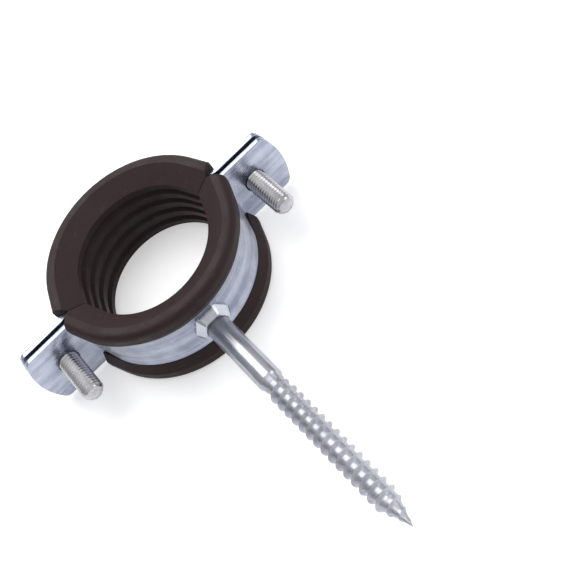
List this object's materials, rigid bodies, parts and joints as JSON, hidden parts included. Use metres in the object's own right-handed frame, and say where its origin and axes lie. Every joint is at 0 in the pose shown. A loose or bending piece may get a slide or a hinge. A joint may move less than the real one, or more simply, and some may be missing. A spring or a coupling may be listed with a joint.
{
  "type": "pipe clamp",
  "caption": "Split steel pipe clamp with a ribbed rubber lining, screws through its ears and a wood-thread hanger screw fixed to its back, to hold a pipe off a wall or ceiling.",
  "frame": {"origin": "centre of the bore, on the pipe's axis, midway along the lining", "axes": "+Z along the pipe, +X across the ears, -Y down the hanger screw towards the wall, +Y towards the removable cap"},
  "size_m": [0.0876, 0.1284, 0.0252],
  "materials": {
    "band_zinc": "zinc plated, satin",
    "lining_rubber": "matt moulded rubber",
    "boss_zinc": "zinc plated weld boss",
    "hanger_zinc": "bright zinc plated",
    "ear_screw_zinc": "bright zinc plated"
  },
  "bodies": {
    "clamp_base": {"lower_band": "band_zinc", "lower_lining": "lining_rubber", "weld_boss": "boss_zinc", "hanger_screw": "hanger_zinc"},
    "cap": {"upper_band": "band_zinc", "upper_lining": "lining_rubber"},
    "left_screw": {"left_ear_screw": "ear_screw_zinc"},
    "right_screw": {"right_ear_screw": "ear_screw_zinc"}
  },
  "joints": [
    {"name": "cap_lift", "type": "slide", "parent": "clamp_base", "child": "cap", "axis": [0, 1, 0], "range_m": [0, 0.018]},
    {"name": "left_screw_turn", "type": "hinge", "parent": "cap", "child": "left_screw", "pos_m": [-0.034, 0.0021, 0], "axis": [0, 1, 0], "continuous": true},
    {"name": "right_screw_turn", "type": "hinge", "parent": "cap", "child": "right_screw", "pos_m": [0.034, 0.0021, 0], "axis": [0, 1, 0], "continuous": true}
  ],
  "couplings": [
    {"joint": "left_screw_turn", "follows": "cap_lift", "rad_per_m": 6283.2},
    {"joint": "right_screw_turn", "follows": "cap_lift", "rad_per_m": 6283.2}
  ]
}
